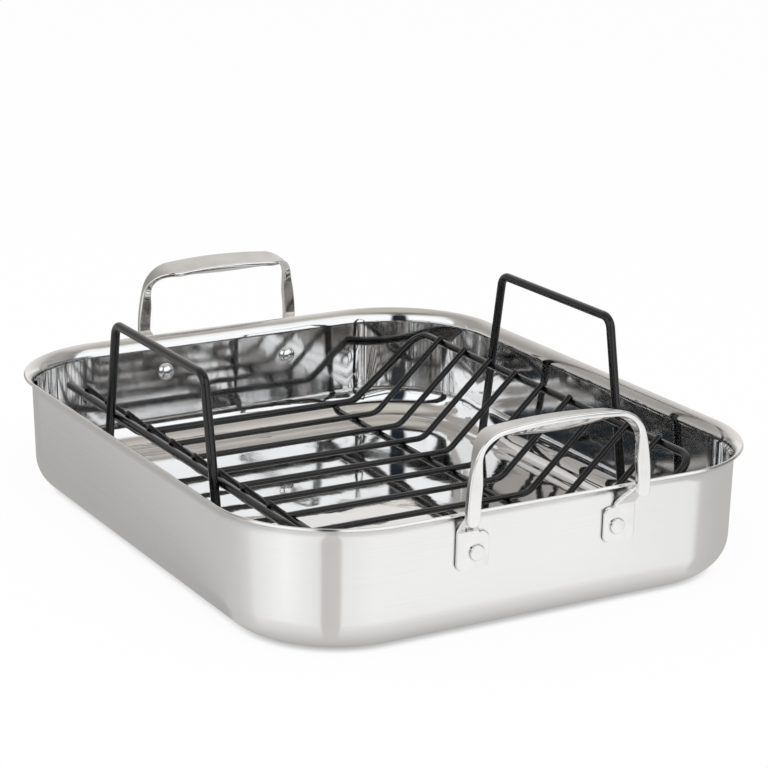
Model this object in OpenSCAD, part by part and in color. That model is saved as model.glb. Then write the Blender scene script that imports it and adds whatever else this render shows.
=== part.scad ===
/* [Pan] */
// Length over the flared rim, along X
rim_length = 412; // [390:1:450]
// Width over the flared rim, along Y
rim_width = 338; // [325:1:380]
// Height of the rim above the table
pan_height = 76; // [72:1:90]
// Thickness of the layered steel sheet
pan_wall = 2; // [1.5:0.1:3]
// Corner radius of the rim, seen from above
rim_corner_radius = 75; // [64:1:90]
// How far the rim flares out past the wall
rim_flare = 5; // [4:0.5:6]
// Lean of the flared rim's edge away from upright, in degrees
rim_turn = 67; // [60:1:75]
// Outward lean of the walls, in degrees
wall_draft = 1.3; // [0.5:0.1:3]
// Outer radius of the curve between the walls and the floor
floor_curve = 21; // [15:1:24]

/* [Pan handles] */
// Height of a grip's outer edge above the rim
grip_height = 48.7; // [42:0.1:58]
// Width of a grip, across its length
grip_width = 20.2; // [16:0.1:24]
// Thickness of a grip's edges
grip_edge = 3.3; // [2.4:0.1:4]
// How far a grip's belly hangs below its edges
grip_belly = 5.2; // [1:0.1:6]
// Distance between a handle's outer face and the edge of the rim
grip_standoff = 9.5; // [8.5:0.1:12]
// Width of a handle leg, along Y
leg_width = 8.2; // [7:0.1:10]
// Thickness of a handle leg, along X
leg_thickness = 4.6; // [4:0.1:6]
// Distance between the two rivets of a handle
rivet_spacing = 92; // [84:1:100]
// Depth of the rivets below the rim
rivet_drop = 25; // [23:1:28]
// Diameter of a rivet's button, outside
rivet_head = 9; // [7:0.5:11]
// Diameter of a rivet's dome, inside the pan
rivet_dome = 11.5; // [9:0.5:14]
// Side of a handle's square pad
pad_size = 20.5; // [19:0.5:24]
// Thickness of a handle's pad
pad_thickness = 2.6; // [2:0.1:3]

/* [Rack] */
// Diameter of a cross wire
cross_wire = 4; // [3:0.1:4.5]
// Diameter of the frame's wire
frame_wire = 5; // [4:0.1:5.5]
// Diameter of the two rails under the cross wires
lower_wire = 4.6; // [4:0.1:5.5]
// Diameter of a rack handle's wire
handle_wire = 5.6; // [5:0.1:6.5]
// Height of the flat bottom's wires above the table
rack_height = 21.5; // [18:0.5:26]
// Slope of the rack's sides, in degrees
side_slope = 42.6; // [38:0.1:46]
// Length of a sloping side, from the bend to the wire's tip
side_length = 70; // [64:0.5:74]
// Distance between the rack's end wires and the edge of the rim
rack_end_gap = 46; // [40:1:60]
// Distance between each lower rail and the bend where the flat bottom ends
lower_rail_inset = 14.5; // [8:0.5:30]
// Height of a rack handle above the table
handle_height = 129; // [118:1:140]
// Width of a rack handle at its top
handle_top = 124; // [110:1:136]
// Lean of a rack handle's legs, in degrees
handle_splay = 10.5; // [6:0.5:13]
// How far the loose rack sits from the pan's middle, toward the back
rack_shift = 4.5; // [0:0.5:6]

/* [Hidden] */

// Segments around large, middling and thin rounds
large_round = 120;
mid_round = 48;
wire_round = 32;

// Colours of the polished steel, the satin handles and the dark coating
steel_color = [0.80, 0.80, 0.79];
satin_color = [0.72, 0.72, 0.71];
coating_color = [0.13, 0.13, 0.14];

// Wall section, measured outward from the middle of a rim corner
half_length = rim_length / 2;
half_width = rim_width / 2;
corner_x = half_length - rim_corner_radius;
corner_y = half_width - rim_corner_radius;
wall_foot = rim_corner_radius - rim_flare - pan_height * tan(wall_draft);
edge_break = 0.4;
edge_break_turn = 2.2;
rim_end = 180 - rim_turn;
rim_rise = sin(rim_turn - edge_break_turn);
rim_curve = (rim_flare + edge_break * cos(rim_turn) + pan_wall * rim_rise * tan(wall_draft))
    / (1 / cos(wall_draft) - cos(rim_turn) - rim_rise * tan(wall_draft));
rim_curve_z = pan_height - (rim_curve + pan_wall) * rim_rise;
rim_curve_r = wall_foot + rim_curve_z * tan(wall_draft) + rim_curve / cos(wall_draft);
rim_middle = [rim_curve_r, rim_curve_z];
floor_flat = wall_foot + floor_curve * tan(wall_draft) - floor_curve / cos(wall_draft);
floor_curve_steps = 12;
rim_curve_steps = 8;

// Rivets and pads, in a frame that lies on the outside of an end wall
rivet_z = pan_height - rivet_drop;
wall_face_x = corner_x + wall_foot + rivet_z * tan(wall_draft);
rivet_shank = rivet_head / 2;
rivet_play = 0.05;
head_edge_share = 0.15;
head_rise_share = 0.27;
inner_rise_share = 0.33;
dome_steps = 8;
pad_corner_share = 0.18;
pad_shift_out = 2;
pad_shift_up = 0.9;
hole_overshoot = 4;
pad_middle_y = rivet_spacing / 2 + pad_shift_out;

// Course of a handle's outer edge: a bowed top, a round corner and a bowed leg
outer_x = half_length + grip_standoff;
grip_top_z = pan_height + grip_height;
leg_reach = 13.3;
leg_spread = rivet_spacing / 2 + leg_reach;
leg_mid_x = outer_x - leg_thickness / 2;
leg_end_drop = 6;
leg_end_z = pan_height - leg_end_drop;
top_turn = 5.7;
leg_turn = 14.3;
corner_bend = 21.9;
leg_bow = 120;
top_bow = (leg_spread - corner_bend * (cos(leg_turn) - sin(top_turn)) - leg_bow * (1 - cos(leg_turn)))
    / sin(top_turn);
corner_start_z = grip_top_z - top_bow * (1 - cos(top_turn));
leg_start_z = corner_start_z - corner_bend * (cos(top_turn) - sin(leg_turn));
leg_waist_z = leg_start_z - leg_bow * sin(leg_turn);
leg_end_turn = asin((leg_waist_z - leg_end_z) / leg_bow);
top_steps = 10;
corner_steps = 14;
leg_steps = 14;

// Section of a handle: it leans toward the pan, and narrows and deepens round the corner
grip_tilt = 10.8;
grip_round_share = 0.36;
grip_round = grip_edge * grip_round_share;
belly_reach = 40;
belly_steps = 8;
narrow_before = 30;
narrow_run = 36;
deepen_before = 12;
deepen_run = 28;
leg_end_round = 3.4;
end_width_share = 0.45;

// Strip: a pad flat on the wall, then a neck that bends out to the leg
strip_bend = 5;
strip_turn = 38;
strip_step_share = 0.33;
strip_tip_share = 0.67;
strip_fillet = 1.6;
strip_rise = 0.1;
strip_corner_steps = 5;
strip_neck_steps = 20;
strip_corner = pad_size * pad_corner_share;
strip_step = pad_size * strip_step_share;
strip_tip = pad_size * strip_tip_share;
strip_inner_y = pad_middle_y - pad_size / 2;
strip_outer_y = pad_middle_y + pad_size / 2;
strip_foot = pad_shift_up - pad_size / 2;
strip_foot_x = wall_face_x + pad_thickness / 2 * cos(wall_draft) + strip_foot * sin(wall_draft);
strip_foot_z = rivet_z - pad_thickness / 2 * sin(wall_draft) + strip_foot * cos(wall_draft);
neck_lean = wall_draft + strip_turn;
neck_arc = strip_bend * strip_turn * PI / 180;
neck_start_x = strip_foot_x + pad_size * sin(wall_draft) + strip_bend * (cos(wall_draft) - cos(neck_lean));
neck_run = (leg_mid_x - neck_start_x) / sin(neck_lean);
fillet_end = pad_size + strip_rise + strip_fillet;
strip_end = pad_size + neck_arc + neck_run;

// Rack: wires that cross touch with a small weld; a bend is a trace thinner than its wire
weld = 0.15;
bend_slim = 0.04;
bend_lap = 1.5;
feet_to_curve = 3.1;
feet_clearance = 0.3;
end_wire_x = half_length - rack_end_gap;
cross_wire_count = 9;
wire_pitch = 2 * end_wire_x / (cross_wire_count + 1);
handle_y = corner_y + floor_flat - feet_to_curve;
rail_y = handle_y - (frame_wire + handle_wire) / 2 + weld;
rail_depth = (cross_wire + frame_wire) / 2 - weld;
wire_overhang = 2;
rail_run = side_length - wire_overhang;
flat_half = rail_y - rail_run * cos(side_slope) - rail_depth * sin(side_slope);
rail_z = rack_height + rail_run * sin(side_slope) - rail_depth * cos(side_slope);
wire_bend = 13;
frame_rise = atan((rail_z - rack_height) / (rail_y - flat_half));
frame_side = norm([rail_y - flat_half, rail_z - rack_height]);
frame_corner = 12;
lower_rail_z = rack_height - (cross_wire + lower_wire) / 2 + weld;
lower_end_turn = 50;
lower_end_x = end_wire_x - (frame_wire / 2 - weld) * cos(lower_end_turn);
lower_end_z = rack_height - (frame_wire / 2 - weld) * sin(lower_end_turn);
lower_bend = (lower_end_z - lower_rail_z) / (1 - cos(lower_end_turn));
handle_corner = 8;
handle_top_z = handle_height - handle_wire / 2;
foot_z = pan_wall + feet_clearance + handle_wire / 2;
leg_lean = 90 - handle_splay;

// Points on an arc around a middle, from one angle to another
function arc(middle, radius, from, to, steps) = [for (i = [0:steps]) let (a = from + (to - from) * i / steps)
    middle + radius * [cos(a), sin(a)]];

// Eased step from zero to one
function ease(t) = let (c = min(max(t, 0), 1)) c * c * (3 - 2 * c);

// Section of the wall, floor and flared rim
function wall_section() = concat(
    [[0, 0]],
    arc([floor_flat, floor_curve], floor_curve, -90, -wall_draft, floor_curve_steps),
    arc(rim_middle, rim_curve, 180 - wall_draft, rim_end + edge_break_turn, rim_curve_steps),
    [
        for (radius = [rim_curve + edge_break, rim_curve + pan_wall - edge_break])
            rim_middle + radius * [cos(rim_end), sin(rim_end)]
    ],
    arc(rim_middle, rim_curve + pan_wall, rim_end + edge_break_turn, 180 - wall_draft, rim_curve_steps),
    arc([floor_flat, floor_curve], floor_curve - pan_wall, -wall_draft, -90, floor_curve_steps),
    [[0, pan_wall]]
);

// Places children on the outside of the front end wall, with their Z axis pointing outward
module on_front_wall(y) {
    translate([wall_face_x, y, rivet_z])
        rotate([0, wall_draft, 0])
            rotate([90, 0, 90])
                children();
}

// Places children a half turn round the pan
module at_back() {
    rotate([0, 0, 180])
        children();
}

module wall_run(length) {
    rotate([90, 0, 0])
        translate([0, 0, -length / 2])
            linear_extrude(length)
                polygon(wall_section());
}

module wall_corner() {
    rotate_extrude(angle = 90, $fn = large_round)
        polygon(wall_section());
}

module rivet_hole(y) {
    on_front_wall(y)
        translate([0, 0, -pan_wall - hole_overshoot])
            cylinder(d = rivet_shank, h = pan_wall + 2 * hole_overshoot, $fn = mid_round);
}

module pan_body() {
    color(steel_color)
        difference() {
            union() {
                translate([-corner_x, -corner_y, 0])
                    cube([2 * corner_x, 2 * corner_y, pan_wall]);
                for (turn = [0, 180])
                    rotate([0, 0, turn]) {
                        translate([corner_x, 0, 0])
                            wall_run(2 * corner_y);
                        translate([0, corner_y, 0])
                            rotate([0, 0, 90])
                                wall_run(2 * corner_x);
                        translate([corner_x, corner_y, 0])
                            wall_corner();
                        translate([-corner_x, corner_y, 0])
                            rotate([0, 0, 90])
                                wall_corner();
                    }
            }
            for (y = [-rivet_spacing / 2, rivet_spacing / 2]) {
                rivet_hole(y);
                at_back()
                    rivet_hole(y);
            }
        }
}

// Triangles and end caps over a run of rings with equal numbers of points
function tube_faces(rings, sides) = concat(
    [for (i = [0:rings - 2], j = [0:sides - 1])
        [i * sides + j, i * sides + (j + 1) % sides, (i + 1) * sides + (j + 1) % sides]],
    [for (i = [0:rings - 2], j = [0:sides - 1])
        [i * sides + j, (i + 1) * sides + (j + 1) % sides, (i + 1) * sides + j]],
    [[for (j = [sides - 1:-1:0]) j]],
    [[for (j = [0:sides - 1]) (rings - 1) * sides + j]]
);

// Points of a handle's half course: Y, Z, turn from level and length from the middle
top_end = top_bow * top_turn * PI / 180;
corner_end = top_end + corner_bend * (90 - leg_turn - top_turn) * PI / 180;
leg_end = corner_end + leg_bow * (leg_turn + leg_end_turn) * PI / 180;
function top_point(a) = [top_bow * sin(a), grip_top_z - top_bow * (1 - cos(a)), a, top_bow * a * PI / 180];
function corner_point(a) = [
    top_bow * sin(top_turn) + corner_bend * (sin(a) - sin(top_turn)),
    corner_start_z - corner_bend * (cos(top_turn) - cos(a)),
    a,
    top_end + corner_bend * (a - top_turn) * PI / 180
];
function leg_point(a) = [
    leg_spread - leg_bow * (1 - sin(a)),
    leg_waist_z + leg_bow * cos(a),
    a,
    corner_end + leg_bow * (a - 90 + leg_turn) * PI / 180
];
function half_course() = concat(
    [for (i = [1:top_steps]) top_point(top_turn * i / top_steps)],
    [for (i = [1:corner_steps]) corner_point(top_turn + (90 - leg_turn - top_turn) * i / corner_steps)],
    [for (i = [1:leg_steps]) leg_point(90 - leg_turn + (leg_turn + leg_end_turn) * i / leg_steps)]
);
function grip_course() = let (half = half_course(), n = len(half)) concat(
    [for (i = [n - 1:-1:0]) [-half[i][0], half[i][1], -half[i][2], half[i][3]]],
    [[0, grip_top_z, 0, 0]],
    half
);

// Rounds off the end of a leg
function end_scale(s) = let (left = max(leg_end - s, 0))
    left >= leg_end_round ? 1
    : end_width_share + (1 - end_width_share) * sqrt(1 - pow(1 - left / leg_end_round, 2));

// Outline of the section, from its outer edge toward the pan: width, depth and belly
function section(width, depth, belly) = let (
    r = grip_round,
    flat = width - 2 * r
) concat(
    [for (a = [0, 30, 60, 90]) [-r + r * cos(a), -r + r * sin(a)]],
    [for (a = [90, 120, 150, 180]) [r - width + r * cos(a), -r + r * sin(a)]],
    [for (a = [180, 210, 240]) [r - width + r * cos(a), r - depth + r * sin(a)]],
    [for (i = [1:belly_steps - 1]) let (t = i / belly_steps)
        [r - width + flat * t, -depth - belly * (1 - pow(2 * t - 1, 2))]],
    [for (a = [300, 330, 360]) [-r + r * cos(a), r - depth + r * sin(a)]]
);

function grip_ring(station) = let (
    turn = station[2],
    s = station[3],
    b = ease((s - corner_end + narrow_before) / narrow_run),
    c = ease((s - corner_end + deepen_before) / deepen_run),
    width = grip_width * (1 - b) + leg_thickness * b,
    depth = grip_edge * (1 - c) + leg_width * c,
    belly = grip_belly * max(1 - pow(s / belly_reach, 2), 0),
    tilt = grip_tilt * (1 - b),
    shrink = end_scale(s)
) [for (point = section(width, depth, belly)) let (
    x = (point[0] + width / 2) * shrink - width / 2,
    n = (point[1] + depth / 2) * shrink - depth / 2,
    out_n = x * sin(tilt) + n * cos(tilt)
) [outer_x + x * cos(tilt) - n * sin(tilt), station[0] + out_n * sin(turn), station[1] + out_n * cos(turn)]];

module grip() {
    rings = [for (station = grip_course()) grip_ring(station)];
    polyhedron([for (ring = rings) each ring], tube_faces(len(rings), len(rings[0])));
}

// X, Z and lean of the strip's middle, at a length from the foot of its pad
function strip_place(length) = let (
    on_pad = min(length, pad_size),
    lean = wall_draft + strip_turn * min(max(length - pad_size, 0) / neck_arc, 1),
    run = max(length - pad_size - neck_arc, 0)
) [
    strip_foot_x + on_pad * sin(wall_draft) + strip_bend * (cos(wall_draft) - cos(lean)) + run * sin(lean),
    strip_foot_z + on_pad * cos(wall_draft) + strip_bend * (sin(lean) - sin(wall_draft)) + run * cos(lean),
    lean
];

// Flat section of the strip with broken edges, set in from the pad's inner and outer sides
function strip_ring(length, inner, outer) = let (
    place = strip_place(length),
    half_t = pad_thickness / 2 - edge_break,
    low = strip_inner_y + inner + edge_break,
    high = strip_outer_y - outer - edge_break
) [for (corner = [[1, low, 0], [-1, low, -90], [-1, high, -180], [1, high, -270]], a = [0, -45, -90]) let (
    u = corner[0] * half_t + edge_break * cos(corner[2] + a)
) [place[0] + u * cos(place[2]), corner[1] + edge_break * sin(corner[2] + a), place[1] - u * sin(place[2])]];

// Foot corners, the pad's upper inner corner, the fillet above it and the neck
function strip_rings() = let (n = strip_corner_steps) concat(
    [for (i = [0:n]) let (a = 90 * i / n, inset = strip_corner * (1 - sin(a)))
        strip_ring(strip_corner * (1 - cos(a)), inset, inset)],
    [for (i = [0:n]) let (a = 90 * i / n)
        strip_ring(pad_size - strip_corner * (1 - sin(a)), strip_corner * (1 - cos(a)), 0)],
    [for (i = [0:n]) let (a = 90 * i / n)
        strip_ring(fillet_end - strip_fillet * cos(a), strip_step - strip_fillet * (1 - sin(a)), 0)],
    [for (i = [1:strip_neck_steps]) let (t = i / strip_neck_steps)
        strip_ring(fillet_end + (strip_end - fillet_end) * t, strip_step + (strip_tip - strip_step) * t, 0)]
);

module strip() {
    rings = strip_rings();
    difference() {
        polyhedron([for (ring = rings) each ring], tube_faces(len(rings), len(rings[0])));
        on_front_wall(rivet_spacing / 2)
            translate([0, 0, -hole_overshoot])
                cylinder(d = rivet_shank, h = pad_thickness + 2 * hole_overshoot, $fn = mid_round);
    }
}

module pan_handle() {
    color(satin_color) {
        grip();
        strip();
        mirror([0, 1, 0])
            strip();
    }
}

module front_handle() {
    pan_handle();
}

module back_handle() {
    at_back()
        pan_handle();
}

// One rivet: a low button outside, a shank through pad and wall, and a dome inside
module rivet() {
    head_r = rivet_head / 2;
    shank_r = rivet_shank / 2 - rivet_play;
    edge = rivet_head * head_edge_share;
    rise = rivet_head * head_rise_share;
    inner_r = rivet_dome / 2;
    inner_rise = rivet_dome * inner_rise_share;
    color(steel_color)
        rotate_extrude($fn = mid_round)
            polygon(concat(
                [for (i = [0:dome_steps])
                    [inner_r * sin(90 * i / dome_steps), -pan_wall - inner_rise * cos(90 * i / dome_steps)]],
                [[shank_r, -pan_wall], [shank_r, pad_thickness], [head_r, pad_thickness]],
                [for (i = [0:dome_steps]) [
                    head_r * cos(90 * i / dome_steps),
                    pad_thickness + edge + (rise - edge) * sin(90 * i / dome_steps)
                ]]
            ));
}

module front_left_rivet() {
    on_front_wall(-rivet_spacing / 2)
        rivet();
}

module front_right_rivet() {
    on_front_wall(rivet_spacing / 2)
        rivet();
}

module back_left_rivet() {
    at_back()
        on_front_wall(rivet_spacing / 2)
            rivet();
}

module back_right_rivet() {
    at_back()
        on_front_wall(-rivet_spacing / 2)
            rivet();
}

// Places the dark-coated rack's pieces where the loose rack sits
module in_rack() {
    color(coating_color)
        translate([-rack_shift, 0, 0])
            children();
}

// Round wire along Y
module level_wire(d, length) {
    rotate([90, 0, 0])
        cylinder(d = d, h = length, center = true, $fn = wire_round);
}

// Bend in a wire, from +X of its middle toward +Y; it laps into the straight pieces it joins
module wire_turn(d, bend, angle) {
    rotate([0, 0, -bend_lap])
        rotate_extrude(angle = angle + 2 * bend_lap, $fn = large_round)
            translate([bend, 0])
                circle(d = d - bend_slim, $fn = wire_round);
}

// Bend from the flat bottom up into a sloping side
module side_turn(d, bend_y, slope) {
    translate([0, bend_y - wire_bend * tan(slope / 2), rack_height + wire_bend])
        rotate([0, 90, 0])
            wire_turn(d, wire_bend, slope);
}

// Places children at a bend, with their Y axis running up the slope
module up_slope(bend_y, slope) {
    translate([0, bend_y, rack_height])
        rotate([slope, 0, 0])
            children();
}

module cross_wire_half() {
    start = wire_bend * tan(side_slope / 2);
    side_turn(cross_wire, flat_half, side_slope);
    up_slope(flat_half, side_slope)
        translate([0, start, 0])
            rotate([-90, 0, 0])
                cylinder(d = cross_wire, h = side_length - start, $fn = wire_round);
}

module rack_cross_wire(number) {
    in_rack()
        translate([wire_pitch * number - end_wire_x, 0, 0]) {
            translate([0, 0, rack_height])
                level_wire(cross_wire, 2 * (flat_half - wire_bend * tan(side_slope / 2)));
            cross_wire_half();
            mirror([0, 1, 0])
                cross_wire_half();
        }
}

// Frame's half: a long rail, its two corners and the slopes down to the bottom
module frame_half() {
    start = wire_bend * tan(frame_rise / 2);
    for (x = [-end_wire_x, end_wire_x])
        translate([x, 0, 0])
            side_turn(frame_wire, flat_half, frame_rise);
    up_slope(flat_half, frame_rise) {
        for (side = [0, 1])
            mirror([side, 0, 0]) {
                translate([end_wire_x, start, 0])
                    rotate([-90, 0, 0])
                        cylinder(d = frame_wire, h = frame_side - frame_corner - start, $fn = wire_round);
                translate([end_wire_x - frame_corner, frame_side - frame_corner, 0])
                    wire_turn(frame_wire, frame_corner, 90);
            }
        translate([0, frame_side, 0])
            rotate([0, 90, 0])
                cylinder(
                    d = frame_wire,
                    h = 2 * (end_wire_x - frame_corner),
                    center = true,
                    $fn = wire_round
                );
    }
}

module rack_frame() {
    in_rack() {
        for (x = [-end_wire_x, end_wire_x])
            translate([x, 0, rack_height])
                level_wire(frame_wire, 2 * (flat_half - wire_bend * tan(frame_rise / 2)));
        frame_half();
        mirror([0, 1, 0])
            frame_half();
    }
}

// Rail under the cross wires, whose ends turn up to the frame
module lower_rail(y) {
    straight = lower_end_x - lower_bend * sin(lower_end_turn);
    in_rack()
        translate([0, y, lower_rail_z]) {
            rotate([0, 90, 0])
                cylinder(d = lower_wire, h = 2 * straight, center = true, $fn = wire_round);
            for (side = [0, 1])
                mirror([side, 0, 0])
                    translate([straight, 0, lower_bend])
                        rotate([-90, 0, 0])
                            rotate([0, 0, 90 - lower_end_turn])
                                wire_turn(lower_wire, lower_bend, lower_end_turn);
        }
}

module rack_left_lower_rail() {
    lower_rail(lower_rail_inset - flat_half);
}

module rack_right_lower_rail() {
    lower_rail(flat_half - lower_rail_inset);
}

// Half of a rack handle: a corner, a leaning leg and a round foot
module handle_half() {
    trim = handle_corner * tan(leg_lean / 2);
    leg_length = (handle_top_z - foot_z) / sin(leg_lean) - trim;
    translate([handle_top / 2 - trim, 0, handle_top_z - handle_corner])
        rotate([90, 0, 0])
            rotate([0, 0, 90 - leg_lean])
                wire_turn(handle_wire, handle_corner, leg_lean);
    translate([handle_top / 2, 0, handle_top_z])
        rotate([0, 180 - handle_splay, 0])
            translate([0, 0, trim]) {
                cylinder(d = handle_wire, h = leg_length, $fn = wire_round);
                translate([0, 0, leg_length])
                    sphere(d = handle_wire - bend_slim, $fn = wire_round);
            }
}

module rack_handle(y) {
    in_rack()
        translate([0, y, 0]) {
            translate([0, 0, handle_top_z])
                rotate([0, 90, 0])
                    cylinder(
                        d = handle_wire,
                        h = handle_top - 2 * handle_corner * tan(leg_lean / 2),
                        center = true,
                        $fn = wire_round
                    );
            handle_half();
            mirror([1, 0, 0])
                handle_half();
        }
}

module rack_left_handle() {
    rack_handle(-handle_y);
}

module rack_right_handle() {
    rack_handle(handle_y);
}

pan_body();
front_handle();
back_handle();
front_left_rivet();
front_right_rivet();
back_left_rivet();
back_right_rivet();
rack_frame();
rack_cross_wire(1);  // rack_cross_wire_1
rack_cross_wire(2);  // rack_cross_wire_2
rack_cross_wire(3);  // rack_cross_wire_3
rack_cross_wire(4);  // rack_cross_wire_4
rack_cross_wire(5);  // rack_cross_wire_5
rack_cross_wire(6);  // rack_cross_wire_6
rack_cross_wire(7);  // rack_cross_wire_7
rack_cross_wire(8);  // rack_cross_wire_8
rack_cross_wire(9);  // rack_cross_wire_9
rack_left_lower_rail();
rack_right_lower_rail();
rack_left_handle();
rack_right_handle();
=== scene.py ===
import math

import bpy
import numpy as np
from mathutils import Matrix, Vector


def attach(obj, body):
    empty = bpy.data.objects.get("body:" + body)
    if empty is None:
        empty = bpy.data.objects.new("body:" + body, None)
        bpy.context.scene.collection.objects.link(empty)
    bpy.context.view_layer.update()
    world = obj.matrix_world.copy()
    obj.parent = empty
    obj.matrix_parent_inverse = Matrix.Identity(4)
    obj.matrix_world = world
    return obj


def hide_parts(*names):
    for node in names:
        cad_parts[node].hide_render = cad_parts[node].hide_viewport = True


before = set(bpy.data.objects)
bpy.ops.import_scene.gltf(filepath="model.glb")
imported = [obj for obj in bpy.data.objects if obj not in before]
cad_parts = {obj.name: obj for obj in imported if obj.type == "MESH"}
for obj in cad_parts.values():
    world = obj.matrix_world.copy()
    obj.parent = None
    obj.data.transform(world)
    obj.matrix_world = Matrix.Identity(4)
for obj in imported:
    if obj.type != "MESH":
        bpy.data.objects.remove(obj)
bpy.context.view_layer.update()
MM = 0.001


# Camera, at the photograph's viewing angle; lengths in millimetres

CAMERA_TURN, CAMERA_RISE, CAMERA_ROLL = math.radians(60.267), math.radians(16.208), math.radians(0.645)
CAMERA_DISTANCE = 1511.06
AIM_Z, AIM_RIGHT, AIM_UP = 40.0, 10.121, 45.346
FOCAL_PIXELS, PICTURE_PIXELS, SENSOR_WIDTH = 2432.93, 768, 36
NEAREST_SEEN = 50


def unit(v):
    return v / np.linalg.norm(v)


def add_camera():
    back = np.array([
        math.sin(CAMERA_TURN) * math.cos(CAMERA_RISE),
        -math.cos(CAMERA_TURN) * math.cos(CAMERA_RISE),
        math.sin(CAMERA_RISE),
    ])
    level = np.array([math.cos(CAMERA_TURN), math.sin(CAMERA_TURN), 0])
    upright = np.cross(back, level)
    right = level * math.cos(CAMERA_ROLL) + upright * math.sin(CAMERA_ROLL)
    up = upright * math.cos(CAMERA_ROLL) - level * math.sin(CAMERA_ROLL)
    target = np.array([0, 0, AIM_Z]) + right * AIM_RIGHT + up * AIM_UP
    place = (target + back * CAMERA_DISTANCE) * MM
    data = bpy.data.cameras.new("camera")
    data.sensor_width = SENSOR_WIDTH
    data.lens = FOCAL_PIXELS * SENSOR_WIDTH / PICTURE_PIXELS
    data.clip_start = NEAREST_SEEN * MM
    camera = bpy.data.objects.new("camera", data)
    camera.matrix_world = Matrix((
        (right[0], up[0], back[0], place[0]),
        (right[1], up[1], back[1], place[1]),
        (right[2], up[2], back[2], place[2]),
        (0, 0, 0, 1),
    ))
    bpy.context.scene.collection.objects.link(camera)
    bpy.context.scene.camera = camera


add_camera()


# Sizes in millimetres, as in the part's source

RIM_LENGTH, RIM_WIDTH, PAN_HEIGHT, PAN_WALL = 412, 338, 76, 2
CORNER_R, FLARE, DRAFT, FLOOR_CURVE = 75, 5, math.radians(1.3), 21
CORNER_X, CORNER_Y = RIM_LENGTH / 2 - CORNER_R, RIM_WIDTH / 2 - CORNER_R
WALL_FOOT = CORNER_R - FLARE - PAN_HEIGHT * math.tan(DRAFT)
EDGE_BREAK, EDGE_BREAK_TURN = 0.4, math.radians(2.2)
RIM_TURN = math.radians(67)
RIM_RISE = math.sin(RIM_TURN - EDGE_BREAK_TURN)
RIM_CURVE = ((FLARE + EDGE_BREAK * math.cos(RIM_TURN) + PAN_WALL * RIM_RISE * math.tan(DRAFT))
             / (1 / math.cos(DRAFT) - math.cos(RIM_TURN) - RIM_RISE * math.tan(DRAFT)))
RIM_CURVE_Z = PAN_HEIGHT - (RIM_CURVE + PAN_WALL) * RIM_RISE
RIM_CURVE_R = WALL_FOOT + RIM_CURVE_Z * math.tan(DRAFT) + RIM_CURVE / math.cos(DRAFT)
FLOOR_FLAT = WALL_FOOT + FLOOR_CURVE * math.tan(DRAFT) - FLOOR_CURVE / math.cos(DRAFT)
RIVET_Z = PAN_HEIGHT - 25
WALL_X = CORNER_X + WALL_FOOT + RIVET_Z * math.tan(DRAFT)
RIVET_Y = 46


# Mesh helpers: points are in millimetres

def make(name, points, faces, materials, face_materials=None, normals=None):
    mesh = bpy.data.meshes.new(name)
    mesh.from_pydata([tuple(float(c) * MM for c in p) for p in points], [], faces)
    for material in materials:
        mesh.materials.append(material)
    if face_materials is not None:
        mesh.polygons.foreach_set("material_index", face_materials)
    mesh.polygons.foreach_set("use_smooth", [True] * len(mesh.polygons))
    mesh.update()
    if normals is not None:
        mesh.normals_split_custom_set_from_vertices([tuple(map(float, n)) for n in normals])
    piece = bpy.data.objects.new(name, mesh)
    bpy.context.scene.collection.objects.link(piece)
    return piece


def settle(piece, body, slot, *nodes):
    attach(piece, body)
    if nodes:
        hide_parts(*nodes)


def crisp(piece, angle):
    """Keeps flat faces flat and edges over the angle sharp."""
    mesh = piece.data
    mesh.update()
    sharp = np.zeros(len(mesh.edges), bool)
    index = {tuple(sorted(e.vertices)): e.index for e in mesh.edges}
    meet = {}
    for polygon in mesh.polygons:
        for key in polygon.edge_keys:
            meet.setdefault(index[tuple(sorted(key))], []).append(polygon.normal.copy())
    for edge, sides in meet.items():
        if len(sides) == 2 and sides[0].angle(sides[1], 0) > math.radians(angle):
            sharp[edge] = True
    layer = mesh.attributes.get("sharp_edge") or mesh.attributes.new("sharp_edge", "BOOLEAN", "EDGE")
    layer.data.foreach_set("value", sharp)
    modifier = piece.modifiers.new("weighted_normals", "WEIGHTED_NORMAL")
    modifier.keep_sharp = True
    modifier.weight = 100


def flatten(rings):
    return [point for ring in rings for point in ring]


def skin(rings, sides, caps=True):
    """Faces over rings of equal numbers of points."""
    faces = []
    last = (len(rings) - 1) * sides
    for a in range(0, last, sides):
        b = a + sides
        for j in range(sides):
            k = (j + 1) % sides
            faces.append((a + j, a + k, b + k, b + j))
    if caps:
        faces.append(tuple(range(sides - 1, -1, -1)))
        faces.append(tuple(range(last, last + sides)))
    return faces


def turned_over(faces):
    return [tuple(reversed(face)) for face in faces]


def quarter(steps, first=0):
    """Angles from 0 to 90 degrees in equal steps."""
    return [math.radians(90 * i / steps) for i in range(first, steps + 1)]


def tone(level, warmth=0.0):
    """A grey, a little warmer or, below zero, a little cooler."""
    return (level * (1 + warmth), level, level * (1 - warmth))


# Materials

NOISE_LOW, NOISE_HIGH = 0.3, 0.7


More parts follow.
